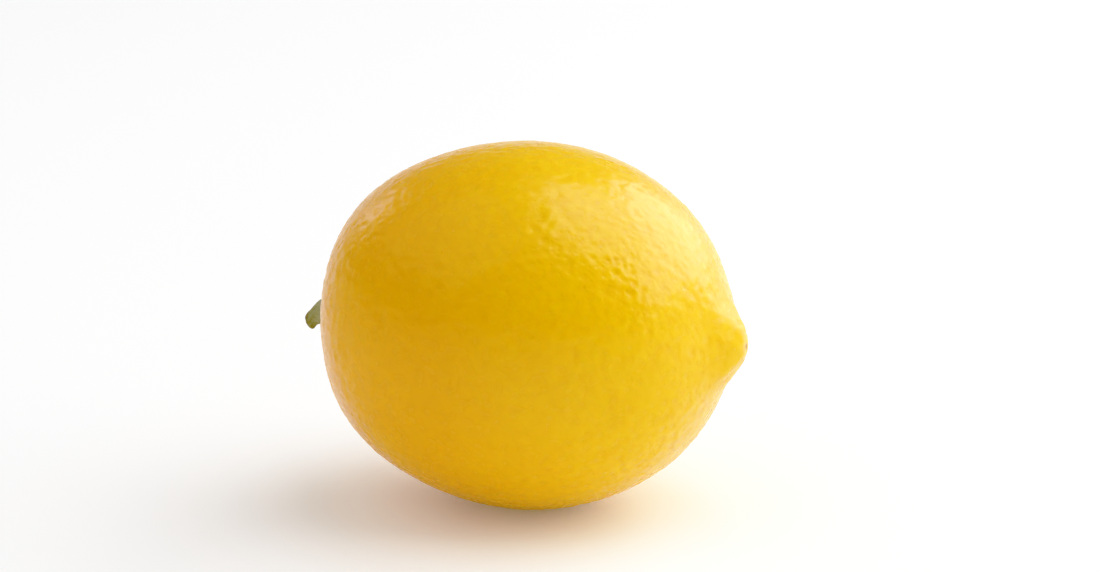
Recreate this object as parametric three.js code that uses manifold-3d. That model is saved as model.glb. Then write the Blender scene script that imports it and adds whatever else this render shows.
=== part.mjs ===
// A lemon lying on its side, with its green calyx and the short stub of stem it was picked with.
// Lengths are in millimetres and angles in radians. The origin is the middle of the small flat spot
// that the fruit rests on, +X runs from the stem end to the blossom end, and +Z is up.

import * as THREE from "three";
import { ParametricGeometry } from "three/addons/geometries/ParametricGeometry.js";
import { mergeVertices } from "three/addons/utils/BufferGeometryUtils.js";
import Module from "manifold-3d";

// The body is an ellipsoid of this half length and radius, before the other shapes are added.
const HALF_LENGTH = 35.6;
const BODY_RADIUS = 32.6;

// How its outline leaves the ellipse, as shares of the radius on cos 2t, cos 3t and cos 4t.
const SLIM_BELLY = 0.057;
const STEM_SHOULDER = 0.012;
const BOTH_SHOULDERS = 0.015;

// The lying fruit is wider than it is high: this share is added across and taken off upwards.
const SIDE_SPREAD = 0.008;

// The nipple at the blossom end, the wide flattening of the stem end, and the low collar on it.
const NIPPLE_HEIGHT = 3.3;
const NIPPLE_SPREAD = 0.186;
const FLATTENING = 2.6;
const FLATTENING_SPREAD = 0.63;
const COLLAR_HEIGHT = 1.0;
const COLLAR_SPREAD = 0.15;

// The fruit isn't quite true about its axis: its middle rises, its nipple side sags more than its
// stem side, and its shoulders lean towards the stem at the top.
const MIDDLE_RISE = 0.25;
const NIPPLE_SIDE_RISE = 0.41;
const STEM_SHOULDER_LEAN = 1.3;
const NIPPLE_SHOULDER_LEAN = 0.2;

// The flat spot: how much of the belly is pressed flat, and where its middle is along the body.
const FLAT_SPOT_DEPTH = 0.5;
const FLAT_SPOT_ALONG = 1.1;

// Pieces that touch keep this gap, and the calyx and stem sit this far below the axis.
const GAP = 0.3;
const STEM_SET_DOWN = 0.5;

// The calyx, a thick star of sepals whose tips bend down to the skin.
const SEPALS = 5;
const CALYX_RADIUS = 3.3;
const CALYX_FOOT_RADIUS = 3.0;
const CALYX_SHOULDER_RADIUS = 2.6;
const CALYX_HUB_RADIUS = 1.6;
const CALYX_THICKNESS = 1.5;
const CALYX_RIM_HEIGHT = 0.45;
const SEPAL_REACH = 1.2;
const CALYX_BEND = 0.35;

// The stub of stem: a funnel that narrows to a neck, droops, and ends in a slanted cut.
const STEM_BASE_RADIUS = 3.1;
const STEM_NECK_RADIUS = 1.35;
const STEM_CUT_RADIUS = 1.45;
const STEM_REACH = 2.5;
const STEM_FUNNEL_HEIGHT = 0.7;
const STEM_NECK_HEIGHT = 1.9;
const STEM_DROOP = 1.8;
const STEM_DROOP_POWER = 1.3;
const STEM_CUT_SLANT = 0.47;
const STEM_EDGE = 0.25;

// How finely each surface is divided. The fruit's rings crowd towards its ends by this share.
const FRUIT_RINGS = 44;
const FRUIT_SIDES = 60;
const END_CROWDING = 0.4;
const CALYX_SIDES = 40;
const STEM_SIDES = 20;
const CURVE_STEPS = 4;
const MERGE_DISTANCE = 1e-3;

const bell = (x) => Math.exp(-x * x);

// A point of the skin in the body's own frame, whose origin is the middle of the ellipsoid. t runs
// from 0 at the stem to PI at the nipple, and turn goes round the axis: 0 is +Y and PI / 2 is up.
function skinPoint(t, turn, target) {
  const along =
    -HALF_LENGTH * Math.cos(t) +
    NIPPLE_HEIGHT * bell((Math.PI - t) / NIPPLE_SPREAD) +
    FLATTENING * bell(t / FLATTENING_SPREAD) -
    COLLAR_HEIGHT * bell(t / COLLAR_SPREAD);
  const fullness =
    1 +
    SLIM_BELLY * Math.cos(2 * t) +
    STEM_SHOULDER * Math.cos(3 * t) +
    BOTH_SHOULDERS * Math.cos(4 * t);
  const radius = BODY_RADIUS * fullness * Math.sin(t);
  const lean =
    STEM_SHOULDER_LEAN * ((1 + Math.cos(t)) / 2) ** 2 +
    NIPPLE_SHOULDER_LEAN * ((1 - Math.cos(t)) / 2) ** 2;
  const rise = MIDDLE_RISE - NIPPLE_SIDE_RISE * Math.cos(t);
  return target.set(
    along - lean * Math.sin(t) * Math.sin(turn),
    radius * (1 + SIDE_SPREAD) * Math.cos(turn),
    radius * (1 - SIDE_SPREAD) * Math.sin(turn) + rise * Math.sin(t),
  );
}

// Where the body's own frame stands: its lowest belly point is the flat spot's depth below zero.
function bodyPlace() {
  const steps = 360;
  const point = new THREE.Vector3();
  let lowest = 0;
  for (let step = 0; step <= steps; step++) {
    skinPoint((Math.PI * step) / steps, -Math.PI / 2, point);
    lowest = Math.min(lowest, point.z);
  }
  return new THREE.Vector3(-FLAT_SPOT_ALONG, 0, -lowest - FLAT_SPOT_DEPTH);
}

// The same surface with its shared vertices made one, so that it is closed.
function closed(geometry) {
  geometry.deleteAttribute("normal");
  geometry.deleteAttribute("uv");
  return mergeVertices(geometry, MERGE_DISTANCE);
}

function toSolid(geometry) {
  return new wasm.Manifold(
    new wasm.Mesh({
      numProp: 3,
      vertProperties: geometry.attributes.position.array,
      triVerts: new Uint32Array(geometry.index.array),
    }),
  );
}

function toGeometry(solid) {
  const mesh = solid.getMesh();
  const geometry = new THREE.BufferGeometry();
  geometry.setAttribute("position", new THREE.BufferAttribute(mesh.vertProperties, 3));
  geometry.setIndex(new THREE.BufferAttribute(mesh.triVerts, 1));
  geometry.computeVertexNormals();
  return geometry;
}

// The whole fruit, with everything below the surface it rests on cut away.
function fruitGeometry(place) {
  const surface = (round, share, target) => {
    const t = Math.PI * share - (END_CROWDING / 2) * Math.sin(2 * Math.PI * share);
    return skinPoint(t, 2 * Math.PI * round, target).add(place);
  };
  const body = closed(new ParametricGeometry(surface, FRUIT_SIDES, FRUIT_RINGS));
  const size = 4 * HALF_LENGTH;
  const block = new THREE.BoxGeometry(size, size, size).translate(0, 0, -size / 2);
  return toGeometry(toSolid(body).subtract(toSolid(closed(block))));
}

// A profile of radius and height turned about +Z, with every point then shifted by move.
function turned(profile, sides, move) {
  const lathe = new THREE.LatheGeometry(profile.getPoints(CURVE_STEPS), sides);
  const geometry = closed(lathe.rotateX(Math.PI / 2));
  const positions = geometry.attributes.position;
  const point = new THREE.Vector3();
  for (let i = 0; i < positions.count; i++) {
    move(point.fromBufferAttribute(positions, i));
    positions.setXYZ(i, point.x, point.y, point.z);
  }
  geometry.computeVertexNormals();
  return geometry;
}

function calyxGeometry() {
  const profile = new THREE.Path();
  profile.moveTo(0, 0);
  profile.lineTo(CALYX_FOOT_RADIUS, 0);
  profile.quadraticCurveTo(CALYX_RADIUS, 0, CALYX_RADIUS, CALYX_RIM_HEIGHT);
  profile.quadraticCurveTo(
    CALYX_SHOULDER_RADIUS,
    CALYX_THICKNESS,
    CALYX_HUB_RADIUS,
    CALYX_THICKNESS,
  );
  profile.lineTo(0, CALYX_THICKNESS);
  return turned(profile, CALYX_SIDES, (point) => {
    const out = Math.hypot(point.x, point.y) / CALYX_RADIUS;
    const sepal = (1 + Math.sin(SEPALS * Math.atan2(point.y, point.x))) / 2;
    const growth = 1 + (SEPAL_REACH / CALYX_RADIUS) * sepal * out ** 2;
    point.x *= growth;
    point.y *= growth;
    point.z -= CALYX_BEND * (out * growth) ** 2;
  });
}

// The funnel's rings are straight over each other here, and the move lets them droop and slant.
function stemGeometry() {
  const profile = new THREE.Path();
  profile.moveTo(0, 0);
  profile.lineTo(STEM_BASE_RADIUS, 0);
  profile.quadraticCurveTo(
    STEM_NECK_RADIUS,
    STEM_FUNNEL_HEIGHT,
    STEM_NECK_RADIUS,
    STEM_NECK_HEIGHT,
  );
  profile.lineTo(STEM_CUT_RADIUS, STEM_REACH - STEM_EDGE);
  profile.quadraticCurveTo(
    STEM_CUT_RADIUS,
    STEM_REACH,
    STEM_CUT_RADIUS - STEM_EDGE,
    STEM_REACH,
  );
  profile.lineTo(0, STEM_REACH);
  return turned(profile, STEM_SIDES, (point) => {
    const share = Math.max(point.z, 0) / STEM_REACH;
    const slant = STEM_CUT_SLANT * share;
    point.z += point.y * Math.sin(slant);
    point.y = point.y * Math.cos(slant) - STEM_DROOP * share ** STEM_DROOP_POWER;
  });
}

function piece(name, geometry, color, roughness) {
  const material = new THREE.MeshStandardMaterial({ color, roughness, metalness: 0 });
  const mesh = new THREE.Mesh(geometry, material);
  mesh.name = name;
  return mesh;
}

// The calyx with the stem on it, in a frame that stands on the skin at the stem end: its +Z points
// straight out of the fruit, and its +Y rises along the skin.
function stemEnd(place) {
  const nearby = 0.01;
  const pole = skinPoint(0, 0, new THREE.Vector3());
  const above = skinPoint(nearby, Math.PI / 2, new THREE.Vector3());
  const below = skinPoint(nearby, -Math.PI / 2, new THREE.Vector3());
  const rising = above.sub(below).normalize();
  const sideways = new THREE.Vector3(0, -1, 0);
  const outwards = new THREE.Vector3().crossVectors(sideways, rising);

  const calyx = piece("calyx", calyxGeometry(), 0x8d8c4a, 0.75);
  calyx.position.set(0, -STEM_SET_DOWN, GAP);
  const stem = piece("stem", stemGeometry(), 0x8c803c, 0.7);
  stem.position.set(0, -STEM_SET_DOWN, CALYX_THICKNESS + 2 * GAP);

  const end = new THREE.Group();
  end.setRotationFromMatrix(new THREE.Matrix4().makeBasis(sideways, rising, outwards));
  end.position.copy(pole).add(place);
  end.add(calyx, stem);
  return end;
}

const wasm = await Module();
wasm.setup();

const place = bodyPlace();
const lemon = new THREE.Group();
lemon.add(piece("fruit", fruitGeometry(place), 0xe2a90f, 0.42));
lemon.add(stemEnd(place));

export default lemon;
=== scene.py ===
"""A ripe lemon lying on its side: its pitted, waxy skin, its green calyx and its stub of stem."""

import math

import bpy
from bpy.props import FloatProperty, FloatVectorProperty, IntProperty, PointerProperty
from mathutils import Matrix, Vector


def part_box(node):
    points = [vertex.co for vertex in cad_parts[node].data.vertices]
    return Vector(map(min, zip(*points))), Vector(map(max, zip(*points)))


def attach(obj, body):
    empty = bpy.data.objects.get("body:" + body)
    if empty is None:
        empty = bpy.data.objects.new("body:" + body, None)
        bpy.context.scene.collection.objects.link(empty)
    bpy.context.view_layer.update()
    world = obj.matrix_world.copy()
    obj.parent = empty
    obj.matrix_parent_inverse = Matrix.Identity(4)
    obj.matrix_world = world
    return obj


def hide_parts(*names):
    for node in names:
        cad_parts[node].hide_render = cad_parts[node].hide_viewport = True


bl_info = {
    "name": "Lemon",
    "version": (1, 0, 0),
    "blender": (4, 5, 0),
    "location": "3D View > Sidebar > Lemon",
    "description": "Builds the looks of a lemon round its packed solids",
    "category": "Object",
}

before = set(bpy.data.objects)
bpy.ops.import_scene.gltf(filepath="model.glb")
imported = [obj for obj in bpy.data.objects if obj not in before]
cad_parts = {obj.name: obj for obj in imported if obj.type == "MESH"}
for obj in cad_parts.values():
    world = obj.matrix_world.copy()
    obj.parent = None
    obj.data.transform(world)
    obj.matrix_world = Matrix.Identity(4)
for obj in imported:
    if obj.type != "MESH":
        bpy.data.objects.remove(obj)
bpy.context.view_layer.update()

# Objects and settings are in metres. The node trees of the three pieces take places in millimetres,
# except where the oil glands are laid out.
MM = 0.001
FRUIT_LOW, FRUIT_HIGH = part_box("fruit")
FRUIT_MIDDLE = (FRUIT_LOW + FRUIT_HIGH) / 2
FRUIT_SIZE = FRUIT_HIGH - FRUIT_LOW
SKIN_POINTS = [vertex.co.copy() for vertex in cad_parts["fruit"].data.vertices]
STEM_POLE = min(SKIN_POINTS, key=lambda point: point.x)
NIPPLE_TIP = max(SKIN_POINTS, key=lambda point: point.x)

# The calyx and the stem are modelled standing up on +Z. This frame then lays them on the fruit's
# stem end: their +Z points out of the fruit, which faces a little down, and their +Y rises.
STEM_END_LEAN = math.radians(2.1)
STEM_SET_DOWN = 0.5 * MM
SEPALS = 5


def stem_end_frame():
    outward = Vector((-math.cos(STEM_END_LEAN), 0, -math.sin(STEM_END_LEAN)))
    sideways = Vector((0, -1, 0))
    rising = outward.cross(sideways)
    middle = STEM_POLE - rising * STEM_SET_DOWN
    return Matrix.Translation(middle) @ Matrix((sideways, rising, outward)).transposed().to_4x4()


# Node trees, written as expressions


class Socket:
    """One output of a node, for use in arithmetic: each operator adds a Math node."""

    def __init__(self, graph, output):
        self.graph = graph
        self.output = output

    def math(self, operation, *values):
        return self.graph.node("ShaderNodeMath", {"operation": operation}, dict(enumerate(values)))

    def __add__(self, other):
        return self.math("ADD", self, other)

    def __sub__(self, other):
        return self.math("SUBTRACT", self, other)

    def __rsub__(self, other):
        return self.math("SUBTRACT", other, self)

    def __mul__(self, other):
        return self.math("MULTIPLY", self, other)

    def __truediv__(self, other):
        return self.math("DIVIDE", self, other)

    def __rtruediv__(self, other):
        return self.math("DIVIDE", other, self)

    def __pow__(self, other):
        return self.math("POWER", self, other)

    def __rpow__(self, other):
        return self.math("POWER", other, self)

    __radd__ = __add__
    __rmul__ = __mul__

    def sine(self):
        return self.math("SINE", self)

    def cosine(self):
        return self.math("COSINE", self)

    def at_least(self, other):
        return self.math("MAXIMUM", self, other)

    def at_most(self, other):
        return self.math("MINIMUM", self, other)


class Graph:
    """The node tree of a material, a world or a geometry modifier."""

    def __init__(self, tree):
        self.tree = tree

    def node(self, kind, settings=None, inputs=None, output=0):
        """Adds a node, sets it up, gives its inputs values or links, and returns one output.

        A node without outputs, such as the end of a tree, returns nothing."""
        node = self.tree.nodes.new(kind)
        for name, value in (settings or {}).items():
            setattr(node, name, value)
        self.fill(node, inputs or {})
        return Socket(self, node.outputs[output]) if node.outputs else None

    def fill(self, node, inputs):
        """Links the inputs that are given a socket, and sets the others to their values."""
        for key, value in inputs.items():
            if isinstance(value, Socket):
                self.tree.links.new(value.output, node.inputs[key])
            else:
                node.inputs[key].default_value = value

    def vector(self, operation, *values, output=0):
        settings = {"operation": operation}
        return self.node("ShaderNodeVectorMath", settings, dict(enumerate(values)), output)

    def scaled(self, vector, factor):
        settings = {"operation": "SCALE"}
        return self.node("ShaderNodeVectorMath", settings, {"Vector": vector, "Scale": factor})

    def distance(self, first, second):
        return self.vector("DISTANCE", first, second, output="Value")

    def parts(self, vector):
        """The X, Y and Z of a vector."""
        split = self.node("ShaderNodeSeparateXYZ", None, {0: vector})
        return [Socket(self, output) for output in split.output.node.outputs]

    def joined(self, x, y, z):
        return self.node("ShaderNodeCombineXYZ", None, {0: x, 1: y, 2: z})

    def from_axis(self, x, y):
        """How far a place is from the Z axis."""
        return self.distance(self.joined(x, y, 0.0), (0.0, 0.0, 0.0))

    def angle(self, up, across):
        return self.node("ShaderNodeMath", {"operation": "ARCTAN2"}, {0: up, 1: across})

    def fade(self, value, start, end, first=0.0, last=1.0):
        """Goes smoothly from first, where value is start, to last, where it is end."""
        settings = {"interpolation_type": "SMOOTHSTEP"}
        inputs = {0: value, 1: start, 2: end, 3: first, 4: last}
        return self.node("ShaderNodeMapRange", settings, inputs)

    def noise(self, place, size, detail=1.0, roughness=0.5):
        """Noise from -1 to 1 with bumps about size wide, in the units of place."""
        inputs = {"Vector": place, "Scale": 1 / size, "Detail": detail, "Roughness": roughness}
        return (self.node("ShaderNodeTexNoise", None, inputs) - 0.5) * 2.0

    def wavering(self, value, place, by, size, detail=1.0):
        """A value that wanders up and down by so much, over bumps about size wide."""
        return value + self.noise(place, size, detail) * by

    def mixed(self, share, first, second):
        """A colour that goes from first to second as share goes from 0 to 1."""
        inputs = {0: share, 6: opaque(first), 7: opaque(second)}
        return self.node("ShaderNodeMix", {"data_type": "RGBA"}, inputs, 2)

    def gray(self, tone):
        return self.node("ShaderNodeCombineColor", None, {0: tone, 1: tone, 2: tone})

    def bump(self, height, depth, strength):
        """The normal of a surface with fine relief, its depth in millimetres."""
        inputs = {"Height": height, "Distance": depth * MM, "Strength": strength}
        return self.node("ShaderNodeBump", None, inputs)

    def kept(self, name, output):
        """What the shape's tree has stored for each point under a name."""
        return self.node("ShaderNodeAttribute", {"attribute_name": name}, output=output)


def opaque(color):
    """A plain colour with full alpha. A socket stays as it is."""
    return color if isinstance(color, Socket) else (*color, 1.0)


def surface_graph(name):
    """A new material, its node tree and its shader."""
    material = bpy.data.materials.new(name)
    material.use_nodes = True
    return material, Graph(material.node_tree), material.node_tree.nodes["Principled BSDF"]


def shape_graph(name):
    """A new geometry tree for a modifier, the mesh that comes in and where its points are in mm."""
    tree = bpy.data.node_groups.new(name, "GeometryNodeTree")
    tree.interface.new_socket(name="Mesh", in_out="INPUT", socket_type="NodeSocketGeometry")
    tree.interface.new_socket(name="Mesh", in_out="OUTPUT", socket_type="NodeSocketGeometry")
    graph = Graph(tree)
    mesh = graph.node("NodeGroupInput")
    place = graph.scaled(graph.node("GeometryNodeInputPosition"), 1 / MM)
    return graph, mesh, place


def raised(graph, place, height):
    """Where the points go when each rises by height along its normal, all in mm."""
    normal = graph.node("GeometryNodeInputNormal")
    return graph.vector("ADD", place, graph.scaled(normal, height))


def moved(graph, mesh, place):
    position = graph.scaled(place, MM)
    return graph.node("GeometryNodeSetPosition", None, {"Geometry": mesh, "Position": position})


def stored(graph, mesh, name, value, data_type="FLOAT"):
    """Keeps a value of each point under a name, where the material reads it."""
    settings = {"data_type": data_type, "domain": "POINT"}
    inputs = {"Geometry": mesh, "Name": name, "Value": value}
    return graph.node("GeometryNodeStoreNamedAttribute", settings, inputs)


def shaped(graph, mesh):
    """Makes a mesh the tree's result."""
    graph.node("NodeGroupOutput", None, {0: mesh})
    return graph.tree


# Modelling by hand


def make_active(piece):
    """Selects one object and nothing else."""
    bpy.ops.object.select_all(action="DESELECT")
    piece.select_set(True)
    bpy.context.view_layer.objects.active = piece


def finish_modifier(piece, kind, **settings):
    """Adds a modifier, sets it up and applies it."""
    make_active(piece)
    modifier = piece.modifiers.new(kind.title(), kind)
    for name, value in settings.items():
        setattr(modifier, name, value)
    bpy.ops.object.modifier_apply(modifier=modifier.name)


def subdivide_smooth(piece, levels):
    finish_modifier(piece, "SUBSURF", levels=levels, render_levels=levels)


def apply_place(piece):
    make_active(piece)
    bpy.ops.object.transform_apply(location=True, rotation=True, scale=True)


def finish_piece(piece, name, node, material):
    """Names a piece, gives it its material and lets it stand for its solid."""
    apply_place(piece)
    bpy.ops.object.shade_smooth()
    piece.name = name
    piece.data.name = name
    piece.data.materials.clear()
    piece.data.materials.append(material)
    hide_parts(node)
    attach(piece, "root")


# Values that a user can change


def millimetres(label, meaning, size):
    return FloatProperty(name=label, description=meaning, default=size * MM, unit="LENGTH")


def degrees(label, meaning, turn):
    return FloatProperty(
        name=label, description=meaning, default=math.radians(turn), subtype="ANGLE"
    )


def amount(label, meaning, value):
    return FloatProperty(name=label, description=meaning, default=value, min=0.0)


def whole_number(label, meaning, value):
    return IntProperty(name=label, description=meaning, default=value, min=1)


def tint(label, meaning, color):
    """A colour in linear light."""
    return FloatVectorProperty(
        name=label, description=meaning, default=color, size=3, subtype="COLOR", min=0.0, max=1.0
    )


# The fruit


class LemonSkin(bpy.types.PropertyGroup):
    swell: millimetres("Swell", "Height of the broad unevenness", 0.17)
    swell_width: millimetres("Swell width", "Width of the broad swells", 14)
    lump: millimetres("Lump", "Height of the small lumps", 0.15)
    lump_width: millimetres("Lump width", "Width of the small lumps", 1.5)
    gland_gap: millimetres("Gland gap", "Least distance between oil glands", 0.95)
    glands: amount("Glands", "Places tried for a gland on each square millimetre", 1.2)
    gland_radius: millimetres("Gland radius", "Radius of the widest pit", 0.8)
    gland_depth: millimetres("Gland depth", "Depth of the deepest pit", 0.15)
    furrows: whole_number("Furrows", "Furrows round the stem", 9)
    furrow_depth: millimetres("Furrow depth", "Depth of the furrows round the stem", 0.42)
    creases: whole_number("Creases", "Creases on the nipple", 7)
    crease_depth: millimetres("Crease depth", "Depth of the creases on the nipple", 0.2)
    nipple_swell: millimetres("Nipple swell", "How much fuller the nipple is than its solid", 0.5)
    scar_radius: millimetres("Scar radius", "Radius of the scar on the nipple's tip", 0.85)
    scar_depth: millimetres("Scar depth", "Depth of the scar on the nipple's tip", 0.22)
    # Painted light and shade: peel is the yellow painted in shade, and light peel the same yellow
    # painted lit.
    peel: tint("Peel", "Ripe yellow of the peel", (0.82, 0.402, 0.004))
    painted_lit_peel: tint("Light peel", "Lighter yellow where the sun reached", (0.865, 0.53, 0.008))
    deep_peel: tint("Deep peel", "Deeper yellow in glands and hollows", (0.7, 0.3, 0.002))
    green: tint("Green", "Green left in the peel round the calyx", (0.42, 0.38, 0.03))
    scar: tint("Scar", "Brown of the scar on the nipple", (0.4, 0.24, 0.08))
    roughness: amount("Roughness", "How dull the wax on the peel is", 0.25)


# How often each mesh is divided: the form that the skin is laid on, the ball that becomes the
# skin, and the skin once it lies on the form. Points of the form closer than this are merged.
FORM_DIVISIONS = 2
BALL_DIVISIONS = 6
SKIN_DIVISIONS = 1
MERGE_DISTANCE = 0.001 * MM

# One seed places the oil glands and the other gives them their sizes, of which the smallest is
# this share of the widest. The pits are blurred a little, so that neighbours meet softly.
GLAND_SEED = 7
GLAND_SIZE_SEED = 3
SMALLEST_GLAND = 0.45
PIT_BLUR_STEPS = 2

# Where a thing on the skin begins and where it is full, in millimetres from the stem.
FURROW_RANGE = (13.0, 5.5)
GREEN_RANGE = (10.0, 3.5)

# The same in millimetres from the nipple's tip. The creases fade out before they reach the scar.
NIPPLE_RANGE = (9.0, 2.0)
CREASE_RANGE = (9.0, 4.0)
CREASE_END_RANGE = (1.2, 4.0)
SCAR_CORE = 0.3

# How wide the bends of furrows and creases are in millimetres, and how far each bends in radians.
BEND_WIDTH = 6.0
FURROW_BEND = 0.9
CREASE_BEND = 1.4

# The peel goes from its deep yellow to its light one between these two X, in millimetres: painted
# shade on the front and left, and painted light towards the lamps at the nipple end. Peel that is
# high up, or at the back, is as light as peel this much further along, for each of the two: painted
# light from above and behind.
PAINTED_LIGHT_ALONG = (-14.0, 30.0)
PAINTED_LIGHT_UP = (38.0, 62.0)
PAINTED_LIGHT_ACROSS = (0.0, 26.0)
PAINTED_LIGHT_AHEAD = 16.0

# How strongly each thing shows in the peel's colour, from 0 to 1.
MOTTLE_SHARE = 0.28
GLAND_SHARE = 0.2
GREEN_SHARE = 0.55
SCAR_SHARE = 0.7

# The pores of the finest relief: the size of their cells, and how far from its middle a pore begins
# and is deepest, as a share of a cell.
PORE_GAP = 1.0
PORE_RANGE = (0.45, 0.05)


def smooth_form():
    """A merged and finely divided copy of the fruit's solid, to lay the skin on."""
    form = bpy.data.objects.new("form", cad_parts["fruit"].data.copy())
    bpy.context.scene.collection.objects.link(form)
    make_active(form)
    bpy.ops.object.mode_set(mode="EDIT")
    bpy.ops.mesh.select_all(action="SELECT")
    bpy.ops.mesh.remove_doubles(threshold=MERGE_DISTANCE)
    bpy.ops.mesh.tris_convert_to_quads()
    bpy.ops.object.mode_set(mode="OBJECT")
    subdivide_smooth(form, FORM_DIVISIONS)
    return form


def even_skin(form):
    """A closed skin of nearly square faces: a cube rounded into a ball and laid on the form."""
    bpy.ops.object.select_all(action="DESELECT")
    bpy.ops.mesh.primitive_cube_add(size=FRUIT_SIZE.y, location=FRUIT_MIDDLE)
    skin = bpy.context.object
    subdivide_smooth(skin, BALL_DIVISIONS)
    bpy.ops.object.mode_set(mode="EDIT")
    bpy.ops.mesh.select_all(action="SELECT")
    bpy.ops.transform.tosphere(value=1.0)
    bpy.ops.object.mode_set(mode="OBJECT")
    skin.dimensions = FRUIT_SIZE
    apply_place(skin)
    finish_modifier(skin, "SHRINKWRAP", target=form, wrap_method="NEAREST_SURFACEPOINT")
    finish_modifier(skin, "SMOOTH", factor=0.5, iterations=3)
    subdivide_smooth(skin, SKIN_DIVISIONS)
    return skin


def gland_sizes(graph, glands):
    """The size of the gland nearest to each point, as a share of the widest."""
    chance = graph.node(
        "FunctionNodeRandomValue",
        {"data_type": "FLOAT"},
        {2: SMALLEST_GLAND, 3: 1.0, "Seed": GLAND_SIZE_SEED},
        output=1,
    )
    nearest = graph.node("GeometryNodeSampleNearest", {"domain": "POINT"}, {"Geometry": glands})
    return graph.node(
        "GeometryNodeSampleIndex",
        {"data_type": "FLOAT", "domain": "POINT"},
        {"Geometry": glands, "Value": chance, "Index": nearest},
    )


def gland_pits(graph, mesh, settings):
    """How deep each point lies in the pit of its nearest oil gland, from 0 to 1."""
    glands = graph.node(
        "GeometryNodeDistributePointsOnFaces",
        {"distribute_method": "POISSON"},
        {
            "Mesh": mesh,
            "Distance Min": settings.gland_gap,
            "Density Max": settings.glands / MM**2,
            "Seed": GLAND_SEED,
        },
    )
    points = {"target_element": "POINTS"}
    away = graph.node("GeometryNodeProximity", points, {0: glands}, "Distance")
    size = gland_sizes(graph, glands)
    pit = graph.fade(away / (size * settings.gland_radius), 1.0, 0.0) * size
    blurring = {"Value": pit, "Iterations": PIT_BLUR_STEPS}
    return graph.node("GeometryNodeBlurAttribute", None, blurring)


def hollows(wave):
    """A groove for each turn of a wave: -1 at its bottom and 0 on the ridges beside it."""
    return wave.sine() * 0.5 - 0.5


def end_folds(graph, place, settings):
    """Height of the furrows round the stem, and of the nipple's swell, creases and scar."""
    _, across, high = graph.parts(place)
    turn = graph.angle(high - STEM_POLE.z / MM, across)
    bend = graph.noise(place, BEND_WIDTH)

    from_stem = graph.distance(place, STEM_POLE / MM)
    furrows = hollows(turn * settings.furrows + bend * FURROW_BEND)
    furrows = furrows * graph.fade(from_stem, *FURROW_RANGE)

    from_tip = graph.distance(place, NIPPLE_TIP / MM)
    creases = hollows(turn * settings.creases + bend * CREASE_BEND)
    creases = creases * graph.fade(from_tip, *CREASE_RANGE)
    creases = creases * graph.fade(from_tip, *CREASE_END_RANGE)
    swell = graph.fade(from_tip, *NIPPLE_RANGE)
    scar = graph.fade(from_tip, settings.scar_radius / MM, 0.0)

    folds = furrows * (settings.furrow_depth / MM) + creases * (settings.crease_depth / MM)
    return folds + swell * (settings.nipple_swell / MM) - scar * (settings.scar_depth / MM)


def skin_shape(settings):
    """Swells, lumps and end folds, and a pit at every oil gland. The flat spot stays flat."""
    graph, mesh, place = shape_graph("Skin shape")
    pit = gland_pits(graph, mesh, settings)
    swells = graph.noise(place, settings.swell_width / MM) * (settings.swell / MM)
    lumps = graph.noise(place, settings.lump_width / MM) * (settings.lump / MM)
    pits = pit * (settings.gland_depth / MM)
    height = swells + lumps + end_folds(graph, place, settings) - pits
    x, y, z = graph.parts(raised(graph, place, height))
    skin = moved(graph, mesh, graph.joined(x, y, z.at_least(0.0)))
    return shaped(graph, stored(graph, skin, "gland", pit))


def peel_color(graph, place, gland, scar, settings):
    """Deep yellow with painted light towards the nipple end, the top and the back, then mottling,
    glands, a green stem end and the scar.
    """
    along, across, high = graph.parts(place)
    # Painted light: how much of the lit yellow shows grows towards the lamps at the nipple end,
    # above and behind.
    painted_light_reach = along + graph.fade(high, *PAINTED_LIGHT_UP, last=PAINTED_LIGHT_AHEAD)
    painted_light_reach = painted_light_reach + graph.fade(across, *PAINTED_LIGHT_ACROSS, last=PAINTED_LIGHT_AHEAD)
    light = graph.wavering(graph.fade(painted_light_reach, *PAINTED_LIGHT_ALONG), place, by=0.25, size=11.0, detail=3.0)
    light = light.at_least(0.0).at_most(1.0)
    color = graph.mixed(light, settings.peel, settings.painted_lit_peel)

    mottle = graph.fade(graph.noise(place, size=2.2, detail=3.0), -0.3, 1.0, last=MOTTLE_SHARE)
    color = graph.mixed(mottle, color, settings.deep_peel)
    color = graph.mixed(gland * GLAND_SHARE, color, settings.deep_peel)

    from_stem = graph.distance(place, STEM_POLE / MM)
    from_stem = graph.wavering(from_stem, place, by=2.0, size=3.0, detail=2.0)
    green = graph.fade(from_stem, *GREEN_RANGE, last=GREEN_SHARE)
    color = graph.mixed(green, color, settings.green)
    return graph.mixed(scar, color, settings.scar)


def peel_grain(graph, place):
    """The finest relief: a pore in each cell, and faint unevenness between them."""
    cells = {"Vector": place, "Scale": 1 / PORE_GAP, "Smoothness": 0.4}
    from_pore = graph.node("ShaderNodeTexVoronoi", {"feature": "SMOOTH_F1"}, cells, "Distance")
    unevenness = graph.noise(place, size=0.45, detail=2.0, roughness=0.6) * 0.25
    return unevenness - graph.fade(from_pore, *PORE_RANGE)


def peel_material(settings):
    material, graph, shader = surface_graph("Peel")
    place = graph.scaled(graph.node("ShaderNodeTexCoord", output="Object"), 1 / MM)
    gland = graph.kept("gland", "Fac")
    from_tip = graph.distance(place, NIPPLE_TIP / MM)
    from_tip = graph.wavering(from_tip, place, by=0.2, size=0.5, detail=2.0)
    scar = graph.fade(from_tip, settings.scar_radius / MM, SCAR_CORE, last=SCAR_SHARE)
    dullness = gland * 0.12 + scar * 0.3 + settings.roughness
    graph.fill(shader, {
        "Base Color": peel_color(graph, place, gland, scar, settings),
        "Roughness": graph.wavering(dullness, place, by=0.05, size=5.0, detail=2.0),
        "Normal": graph.bump(peel_grain(graph, place), depth=0.05, strength=0.42),
        "IOR": 1.45,
        "Specular IOR Level": 0.7,
        "Subsurface Weight": 0.3,
        "Subsurface Radius": (1.0, 0.5, 0.06),
        "Subsurface Scale": 1.6 * MM,
    })
    return material


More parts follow.
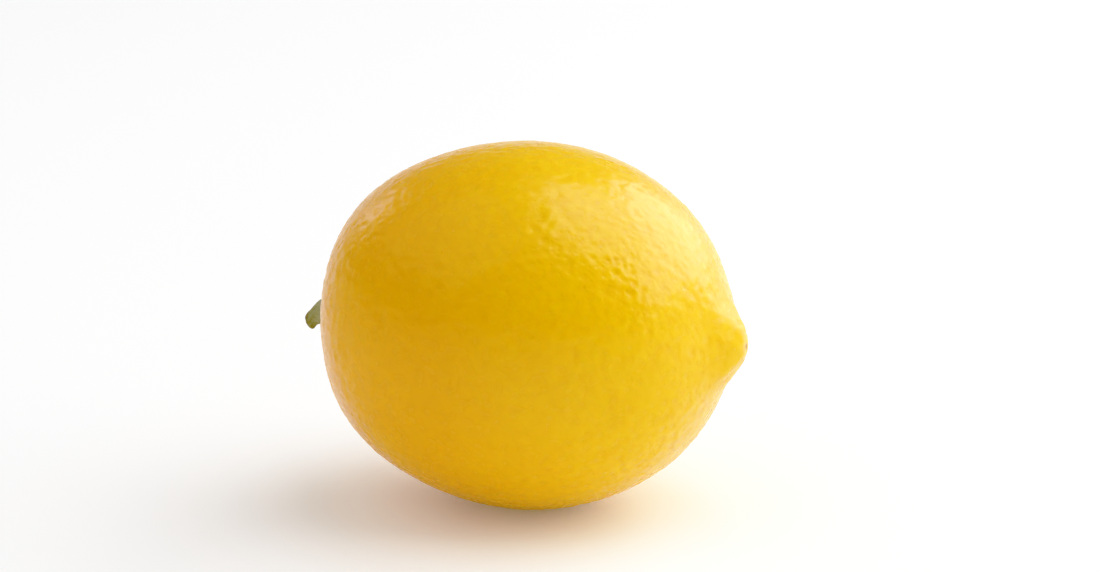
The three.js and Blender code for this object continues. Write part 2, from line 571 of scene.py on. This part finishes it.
class LEMON_OT_fruit(bpy.types.Operator):
    """Builds the skin of the fruit, pit by pit, over the fruit's solid"""

    bl_idname = "lemon.fruit"
    bl_label = "Fruit"

    def execute(self, context):
        settings = context.scene.lemon_skin
        form = smooth_form()
        skin = even_skin(form)
        bpy.data.objects.remove(form)
        finish_modifier(skin, "NODES", node_group=skin_shape(settings))
        finish_piece(skin, "peel_skin", "fruit", peel_material(settings))
        return {"FINISHED"}


# The calyx


class LemonCalyx(bpy.types.PropertyGroup):
    hub_radius: millimetres("Hub radius", "Radius of the middle", 3.2)
    hub_height: millimetres("Hub height", "Thickness of the middle", 3.1)
    sepal_reach: millimetres("Sepal reach", "From the axis to a sepal's tip", 4.6)
    sepal_width: millimetres("Sepal width", "Widest part of a sepal", 3.1)
    sepal_height: millimetres("Sepal height", "Thickness of a sepal", 1.0)
    wrinkle: millimetres("Wrinkle", "Height of the wrinkles along the sepals", 0.14)
    rib: millimetres("Rib", "Height of the rib down each sepal", 0.2)
    lift: millimetres("Lift", "How far the tips stand off the skin", 0.12)
    curl: millimetres("Curl", "How much that differs from tip to tip", 0.35)
    grain: millimetres("Grain", "Size of the mesh's faces", 0.075)
    green: tint("Green", "Olive green of the sepals", (0.19, 0.21, 0.07))
    pale: tint("Pale green", "Greyish green of the ridges", (0.5, 0.48, 0.25))
    brown: tint("Brown", "Dry brown of tips and hollows", (0.19, 0.11, 0.05))


# The sides and rings of the balls that the calyx is joined from. A sepal's ball begins at this
# share of the hub's radius and is tapered by this much, and the middles of a sepal and of the hub
# stand at these shares of their thickness.
BALL_SIDES = 32
BALL_RINGS = 20
SEPAL_START = 0.35
SEPAL_TAPER = -0.85
SEPAL_SEAT = 0.36
HUB_SEAT = 0.3

# The wrinkles are noise taken on a tube: its radius, in widths of a bump, and how far along it a
# millimetre from the calyx's axis is, as a share of that radius.
WRINKLE_TUBE = 7.0
WRINKLE_STEP = 0.12

# The higher this power, the narrower the ribs.
RIB_SHARPNESS = 9.0

# The calyx bends down by this many millimetres, times the square of the distance from its axis.
SEPAL_BEND = 0.034

# Where a thing begins and where it is full, in millimetres from the axis.
WRINKLE_RANGE = (1.2, 2.6)
RIB_RANGE = (1.4, 2.8)
RIB_END_RANGE = (4.6, 3.4)
LIFT_RANGE = (2.8, 4.8)
PALE_HUB_RANGE = (2.9, 1.8)
DRY_TIP_RANGE = (3.0, 4.5)

# The heights between which the underside turns brown, in millimetres.
UNDERSIDE_RANGE = (0.3, -0.1)


def add_ball(location, size):
    """A ball pressed to a size, at a place."""
    bpy.ops.object.select_all(action="DESELECT")
    bpy.ops.mesh.primitive_uv_sphere_add(
        segments=BALL_SIDES, ring_count=BALL_RINGS, radius=0.5, location=location
    )
    ball = bpy.context.object
    ball.dimensions = size
    bpy.ops.object.transform_apply(location=False, rotation=False, scale=True)
    return ball


def add_hub(settings):
    width = 2 * settings.hub_radius
    return add_ball((0, 0, settings.hub_height * HUB_SEAT), (width, width, settings.hub_height))


def add_sepal(settings, turn):
    """One fleshy sepal: a flat ball tapered to its tip, turned round the axis to its place."""
    start = settings.hub_radius * SEPAL_START
    length = settings.sepal_reach - start
    middle = (0, start + length / 2, settings.sepal_height * SEPAL_SEAT)
    sepal = add_ball(middle, (settings.sepal_width, length, settings.sepal_height))
    finish_modifier(
        sepal, "SIMPLE_DEFORM", deform_method="TAPER", deform_axis="Y", factor=SEPAL_TAPER
    )
    sepal.matrix_world = Matrix.Rotation(turn, 4, "Z") @ sepal.matrix_world
    return sepal


def calyx_shape(settings):
    """Wrinkles along the sepals, a rib down each, and a bend that lays them on the skin."""
    graph, mesh, place = shape_graph("Calyx shape")
    x, y, _ = graph.parts(place)
    away = graph.from_axis(x, y)
    angle = graph.angle(y, x)

    around = graph.joined(angle.cosine(), angle.sine(), away * WRINKLE_STEP)
    wrinkles = graph.noise(graph.scaled(around, WRINKLE_TUBE), size=1.0, detail=2.0)
    wrinkles = wrinkles * graph.fade(away, *WRINKLE_RANGE) * (settings.wrinkle / MM)
    ribs = (angle * SEPALS - math.pi / 2).cosine() ** RIB_SHARPNESS
    ribs = ribs * graph.fade(away, *RIB_RANGE) * graph.fade(away, *RIB_END_RANGE)
    height = graph.wavering(wrinkles, place, by=0.07, size=0.7, detail=3.0)
    x, y, z = graph.parts(raised(graph, place, height + ribs * (settings.rib / MM)))

    curl = graph.noise(graph.joined(angle.cosine(), angle.sine(), 0.0), size=0.6)
    lift = curl * (settings.curl / MM) + settings.lift / MM
    lift = graph.fade(away, *LIFT_RANGE) * lift
    bent = graph.joined(x, y, z - away * away * SEPAL_BEND + lift)
    return shaped(graph, stored(graph, moved(graph, mesh, bent), "local", place, "FLOAT_VECTOR"))


def calyx_material(settings):
    """Olive green, paler on its ridges and hub, and brown at the dry tips and underneath."""
    material, graph, shader = surface_graph("Calyx")
    place = graph.kept("local", "Vector")
    x, y, z = graph.parts(place)
    away = graph.from_axis(x, y)

    ridges = graph.noise(place, size=0.7, detail=4.0, roughness=0.65)
    color = graph.mixed(graph.fade(ridges, -0.25, 0.45, last=0.6), settings.green, settings.pale)
    from_hub = graph.wavering(away, place, by=0.5, size=1.2, detail=2.0)
    color = graph.mixed(graph.fade(from_hub, *PALE_HUB_RANGE, last=0.45), color, settings.pale)
    to_tip = graph.wavering(away, place, by=0.8, size=0.8, detail=3.0)
    dry = graph.fade(to_tip, *DRY_TIP_RANGE, last=0.9)
    color = graph.mixed(dry, color, settings.brown)
    color = graph.mixed(graph.fade(z, *UNDERSIDE_RANGE, last=0.6), color, settings.brown)

    grain = graph.noise(place, size=0.16, detail=3.0, roughness=0.65)
    graph.fill(shader, {
        "Base Color": color,
        "Roughness": dry * 0.15 + 0.62,
        "Normal": graph.bump(grain, depth=0.06, strength=0.5),
        "Specular IOR Level": 0.4,
    })
    return material


class LEMON_OT_calyx(bpy.types.Operator):
    """Builds the green star of sepals on the stem end"""

    bl_idname = "lemon.calyx"
    bl_label = "Calyx"

    def execute(self, context):
        settings = context.scene.lemon_calyx
        calyx = add_hub(settings)
        sepals = [add_sepal(settings, 2 * math.pi * turn / SEPALS) for turn in range(SEPALS)]
        make_active(calyx)
        for sepal in sepals:
            sepal.select_set(True)
        bpy.ops.object.join()
        apply_place(calyx)
        finish_modifier(calyx, "REMESH", mode="VOXEL", voxel_size=settings.grain)
        finish_modifier(calyx, "SMOOTH", factor=0.5, iterations=4)
        finish_modifier(calyx, "NODES", node_group=calyx_shape(settings))
        calyx.matrix_world = stem_end_frame()
        finish_piece(calyx, "calyx_star", "calyx", calyx_material(settings))
        return {"FINISHED"}


# The stem


class LemonStem(bpy.types.PropertyGroup):
    base_radius: millimetres("Base radius", "Where the stem spreads into the calyx", 3.0)
    neck_radius: millimetres("Neck radius", "At its thinnest", 1.35)
    cut_radius: millimetres("Cut radius", "At the cut", 1.5)
    foot: millimetres("Foot", "Height of the base above the skin", 0.5)
    reach: millimetres("Reach", "From the base to the cut", 4.3)
    droop: millimetres("Droop", "How far the cut hangs down", 2.25)
    slant: degrees("Slant", "Tilt of the cut", 27)
    ribs: whole_number("Ribs", "Ribs along the stem", 8)
    rib_height: millimetres("Rib height", "Height of the ribs along the stem", 0.1)
    bark: tint("Bark", "Olive green of the bark", (0.3, 0.275, 0.13))
    pale_bark: tint("Pale bark", "Greyish green near the calyx", (0.46, 0.42, 0.24))
    cut: tint("Cut", "Dry brown of the cut", (0.26, 0.2, 0.1))


STEM_SIDES = 16
FUNNEL_STEPS = 6
STEM_DIVISIONS = 3

# The stub from its base up, as shares of its reach: the funnel that narrows to the neck, and then
# the stretch that widens again to the cut.
FUNNEL_SHARE = 0.8
FLARE_SHARE = 0.12

# The cut, ring by ring from its edge to its hollow middle: how far a ring rises, as a share of the
# reach, and how wide it is compared with the last.
CUT_RINGS = ((0.08, 0.88), (0.0, 0.86), (-0.035, 0.75), (0.0, 0.5))

# The stub hangs ever more steeply, by this power of the share of the reach.
DROOP_POWER = 2.4

# Where a thing begins and where it is full, as shares of the reach.
RIB_RISE_RANGE = (0.2, 0.6)
RIB_FALL_RANGE = (1.05, 0.9)
PALE_BASE_RANGE = (0.6, 0.3)
CUT_RANGE = (0.91, 0.96)

# Where the pale pith in the cut begins and is full, in millimetres from the axis, and how far the
# fibres are drawn out along the stem.
PITH_RANGE = (0.55, 0.3)
FIBRE_STRETCH = 0.18


def extrude_up(rise, growth):
    """Extrudes the selected end by rise and widens it by growth."""
    bpy.ops.mesh.extrude_region_move(TRANSFORM_OT_translate={"value": (0, 0, rise)})
    bpy.ops.transform.resize(value=(growth, growth, 1))


def extrude_funnel(settings):
    """Extrudes the base up to the neck, ever narrower."""
    radius = settings.base_radius
    for step in range(1, FUNNEL_STEPS + 1):
        spread = 1 - step / FUNNEL_STEPS
        wanted = settings.neck_radius + (settings.base_radius - settings.neck_radius) * spread
        extrude_up(settings.reach * FUNNEL_SHARE / FUNNEL_STEPS, wanted / radius)
        radius = wanted


def straight_stem(settings):
    """The stem standing straight: a disc extruded up its funnel, with the cut hollowed a little."""
    bpy.ops.object.select_all(action="DESELECT")
    bpy.ops.mesh.primitive_circle_add(
        vertices=STEM_SIDES,
        radius=settings.base_radius,
        fill_type="NGON",
        location=(0, 0, settings.foot),
    )
    stem = bpy.context.object
    bpy.ops.object.mode_set(mode="EDIT")
    bpy.ops.mesh.select_all(action="SELECT")
    extrude_funnel(settings)
    extrude_up(settings.reach * FLARE_SHARE, settings.cut_radius / settings.neck_radius)
    for rise, growth in CUT_RINGS:
        extrude_up(settings.reach * rise, growth)
    bpy.ops.mesh.select_all(action="SELECT")
    bpy.ops.mesh.normals_make_consistent(inside=False)
    bpy.ops.object.mode_set(mode="OBJECT")
    apply_place(stem)
    subdivide_smooth(stem, STEM_DIVISIONS)
    return stem


def stem_shape(settings):
    """Ribs and a rough cut, and then the droop and slant that take the straight stem down."""
    graph, mesh, place = shape_graph("Stem shape")
    x, y, z = graph.parts(place)
    share = (z - settings.foot / MM).at_least(0.0) / (settings.reach / MM)

    ribs = graph.wavering(graph.angle(y, x) * settings.ribs, place, by=0.8, size=1.5).sine()
    ribs = ribs * graph.fade(share, *RIB_RISE_RANGE) * graph.fade(share, *RIB_FALL_RANGE)
    height = ribs * (settings.rib_height / MM)
    height = graph.wavering(height, place, by=0.09, size=0.9, detail=3.0)
    height = graph.wavering(height, place, by=0.03, size=0.3, detail=2.0)
    x, y, z = graph.parts(raised(graph, place, height))

    slant = share * settings.slant
    sunk = y * slant.cosine() - share ** DROOP_POWER * (settings.droop / MM)
    drooped = graph.joined(x, sunk, z + y * slant.sine())
    return shaped(graph, stored(graph, moved(graph, mesh, drooped), "local", place, "FLOAT_VECTOR"))


def stem_material(settings):
    """Streaky olive bark, paler towards the calyx, and a brown cut with pale pith in it."""
    material, graph, shader = surface_graph("Stem")
    place = graph.kept("local", "Vector")
    x, y, z = graph.parts(place)
    share = (z - settings.foot / MM) / (settings.reach / MM)
    fibres = graph.joined(x, y, z * FIBRE_STRETCH)

    streaks = graph.fade(graph.noise(fibres, size=0.3, detail=3.0), -0.4, 0.5, last=0.55)
    color = graph.mixed(streaks, settings.bark, settings.pale_bark)
    from_base = graph.wavering(share, place, by=0.1, size=0.9, detail=2.0)
    color = graph.mixed(
        graph.fade(from_base, *PALE_BASE_RANGE, last=0.4), color, settings.pale_bark
    )
    end = graph.fade(share, *CUT_RANGE)
    color = graph.mixed(end * 0.85, color, settings.cut)
    pith = end * graph.fade(graph.from_axis(x, y), *PITH_RANGE, last=0.6)
    color = graph.mixed(pith, color, settings.pale_bark)

    grain = graph.noise(fibres, size=0.14, detail=3.0, roughness=0.65)
    graph.fill(shader, {
        "Base Color": color,
        "Roughness": end * 0.15 + 0.65,
        "Normal": graph.bump(grain, depth=0.06, strength=0.5),
        "Specular IOR Level": 0.35,
    })
    return material


class LEMON_OT_stem(bpy.types.Operator):
    """Builds the stub of stem, with its droop and its slanted cut"""

    bl_idname = "lemon.stem"
    bl_label = "Stem"

    def execute(self, context):
        settings = context.scene.lemon_stem
        stem = straight_stem(settings)
        finish_modifier(stem, "NODES", node_group=stem_shape(settings))
        stem.matrix_world = stem_end_frame()
        finish_piece(stem, "stem_stub", "stem", stem_material(settings))
        return {"FINISHED"}


# The stage


class LemonStage(bpy.types.PropertyGroup):
    azimuth: degrees("Azimuth", "The camera's turn towards the nipple", 19)
    elevation: degrees("Elevation", "How far the camera looks down", 15)
    distance: millimetres("Distance", "From the camera to the fruit's middle", 599)
    field: millimetres("Field", "Width of the picture at the fruit", 184.5)
    left: millimetres("Left", "How far the fruit is left of the picture's middle", 2.38)
    below: millimetres("Below", "How far the fruit is below the picture's middle", 6.38)
    key_glow: amount("Key", "Brightness of the window behind, mirrored in the skin", 2.45)
    side_glow: amount("Side", "Brightness of the softbox on the right", 2.05)
    top_glow: amount("Top", "Brightness of the softbox overhead", 1.85)
    fill_glow: amount("Fill", "Brightness of the softbox at the front left", 0.5)
    left_glow: amount("Left", "Brightness of the small softbox behind on the left", 1.5)
    room_glow: amount("Room", "Brightness of the room all round", 0.4)
    backdrop_glow: amount("Backdrop", "How much brighter the room is at the horizon", 0.5)
    floor_glow: amount("Floor", "Light that the floor itself gives", 0.11)


SENSOR_WIDTH = 36.0

# Where each softbox stands, in degrees round from +Y towards +X and in degrees up, and its width
# and height in metres. All of them face the fruit's middle from this distance.
SOFTBOXES = {
    "key": (33, 27, 0.85, 0.72),
    "side": (78, 28, 0.75, 0.6),
    "top": (65, 66, 1.1, 0.9),
    "fill": (240, 55, 1.2, 1.0),
    "left": (300, 24, 0.3, 0.3),
}
SOFTBOX_DISTANCE = 1.1

# The floor's own light rises to the backdrop's between these distances from the fruit, in metres.
FLOOR_SIZE = 8.0
FLOOR_TONE = 0.92
FLOOR_GLOW_RANGE = (0.5, 1.3)

# The room gets brighter downwards between these heights, where 0 is the horizon and 1 overhead.
HORIZON_RANGE = (0.24, 0.08)

# How light turns into tone in the picture: the brightest tones grow ever more softly, and the
# faintest blue is held back. Between them tone is as light is.
BRIGHTEST = 1.1
SHOULDER = ((0.4, 0.4), (0.8, 0.8), (0.9, 0.885), (1.0, 0.955))
BLUE_TOE = ((0.03, 0.001), (0.07, 0.018), (0.11, 0.065), (0.16, 0.15), (0.22, 0.22), (0.5, 0.5))


def add_softbox(name, glow):
    """A rectangular light. Its glow is how bright it looks where the skin mirrors it."""
    around, up, width, height = SOFTBOXES[name]
    turn = math.radians(around)
    rise = math.radians(up)
    direction = Vector((
        math.sin(turn) * math.cos(rise),
        math.cos(turn) * math.cos(rise),
        math.sin(rise),
    ))
    bpy.ops.object.select_all(action="DESELECT")
    bpy.ops.object.light_add(
        type="AREA",
        location=FRUIT_MIDDLE + direction * SOFTBOX_DISTANCE,
        rotation=direction.to_track_quat("Z", "Y").to_euler(),
    )
    light = bpy.context.object
    light.name = f"{name}_softbox"
    light.visible_camera = False
    light.data.shape = "RECTANGLE"
    light.data.size = width
    light.data.size_y = height
    light.data.energy = glow * math.pi * width * height


def add_camera(settings):
    """The camera, looking at the fruit from where the photograph was taken."""
    level = math.cos(settings.elevation)
    back = Vector((
        math.sin(settings.azimuth) * level,
        -math.cos(settings.azimuth) * level,
        math.sin(settings.elevation),
    ))
    right = Vector((math.cos(settings.azimuth), math.sin(settings.azimuth), 0))
    up = back.cross(right)
    aim = FRUIT_MIDDLE + right * settings.left + up * settings.below
    bpy.ops.object.select_all(action="DESELECT")
    bpy.ops.object.camera_add(
        location=aim + back * settings.distance,
        rotation=Matrix((right, up, back)).transposed().to_euler(),
    )
    camera = bpy.context.object
    camera.name = "camera"
    camera.data.sensor_width = SENSOR_WIDTH
    camera.data.lens = SENSOR_WIDTH * settings.distance / settings.field
    bpy.context.scene.camera = camera


def floor_material(settings):
    """Nearly even white, which gives a little light of its own, as a lit backdrop does."""
    material, graph, shader = surface_graph("Floor")
    place = graph.node("ShaderNodeTexCoord", output="Object")
    away = graph.distance(place, (0.0, 0.0, 0.0))
    glow = graph.fade(away, *FLOOR_GLOW_RANGE, settings.floor_glow, settings.backdrop_glow)
    graph.fill(shader, {
        "Base Color": graph.gray(graph.wavering(FLOOR_TONE, place, by=0.01, size=0.4)),
        "Emission Color": graph.gray(glow),
        "Emission Strength": 1.0,
        "Roughness": 0.6,
    })
    return material


def add_floor(settings):
    bpy.ops.object.select_all(action="DESELECT")
    bpy.ops.mesh.primitive_plane_add(size=FLOOR_SIZE)
    floor = bpy.context.object
    floor.name = "floor"
    floor.data.materials.append(floor_material(settings))


def add_world(settings):
    """An evenly lit room, brighter at the horizon, where its pale walls meet the floor."""
    world = bpy.data.worlds.new("Studio")
    bpy.context.scene.world = world
    world.use_nodes = True
    graph = Graph(world.node_tree)
    _, _, height = graph.parts(graph.node("ShaderNodeTexCoord", output="Generated"))
    horizon = graph.fade(height, *HORIZON_RANGE, last=settings.backdrop_glow)
    graph.fill(world.node_tree.nodes["Background"], {
        "Color": opaque((1.0, 1.0, 1.0)),
        "Strength": horizon + settings.room_glow,
    })


def grade_picture(scene):
    """Plain colours, but with a soft shoulder and a toe in the blue, as film has."""
    view = scene.view_settings
    view.view_transform = "Standard"
    view.use_curve_mapping = True
    mapping = view.curve_mapping
    mapping.white_level = (BRIGHTEST, BRIGHTEST, BRIGHTEST)
    _, _, blue, all_colors = mapping.curves
    for light, tone in SHOULDER:
        all_colors.points.new(light / BRIGHTEST, tone)
    for before, after in BLUE_TOE:
        blue.points.new(before, after)
    mapping.update()


class LEMON_OT_stage(bpy.types.Operator):
    """Lays out the pale floor, the soft lights and the camera"""

    bl_idname = "lemon.stage"
    bl_label = "Stage"

    def execute(self, context):
        settings = context.scene.lemon_stage
        add_camera(settings)
        add_world(settings)
        add_floor(settings)
        for name in SOFTBOXES:
            add_softbox(name, getattr(settings, f"{name}_glow"))
        grade_picture(context.scene)
        return {"FINISHED"}


# The add-on


class LEMON_PT_panel(bpy.types.Panel):
    """Lists the pieces of the lemon and the sizes and colours behind them"""

    bl_idname = "LEMON_PT_panel"
    bl_label = "Lemon"
    bl_space_type = "VIEW_3D"
    bl_region_type = "UI"
    bl_category = "Lemon"

    def draw(self, context):
        for operator, group in STEPS.items():
            box = self.layout.box()
            box.operator(operator)
            settings = getattr(context.scene, group)
            for name in settings.bl_rna.properties.keys():
                if name not in ("rna_type", "name"):
                    box.prop(settings, name)


GROUPS = {
    "lemon_skin": LemonSkin,
    "lemon_calyx": LemonCalyx,
    "lemon_stem": LemonStem,
    "lemon_stage": LemonStage,
}
STEPS = {
    "lemon.fruit": "lemon_skin",
    "lemon.calyx": "lemon_calyx",
    "lemon.stem": "lemon_stem",
    "lemon.stage": "lemon_stage",
}
CLASSES = (
    *GROUPS.values(),
    LEMON_OT_fruit,
    LEMON_OT_calyx,
    LEMON_OT_stem,
    LEMON_OT_stage,
    LEMON_PT_panel,
)


def register():
    for item in CLASSES:
        bpy.utils.register_class(item)
    for name, group in GROUPS.items():
        setattr(bpy.types.Scene, name, PointerProperty(type=group))


def unregister():
    for name in GROUPS:
        delattr(bpy.types.Scene, name)
    for item in reversed(CLASSES):
        bpy.utils.unregister_class(item)


def main():
    register()
    bpy.ops.lemon.fruit()
    bpy.ops.lemon.calyx()
    bpy.ops.lemon.stem()
    bpy.ops.lemon.stage()


if __name__ == "__main__":
    main()
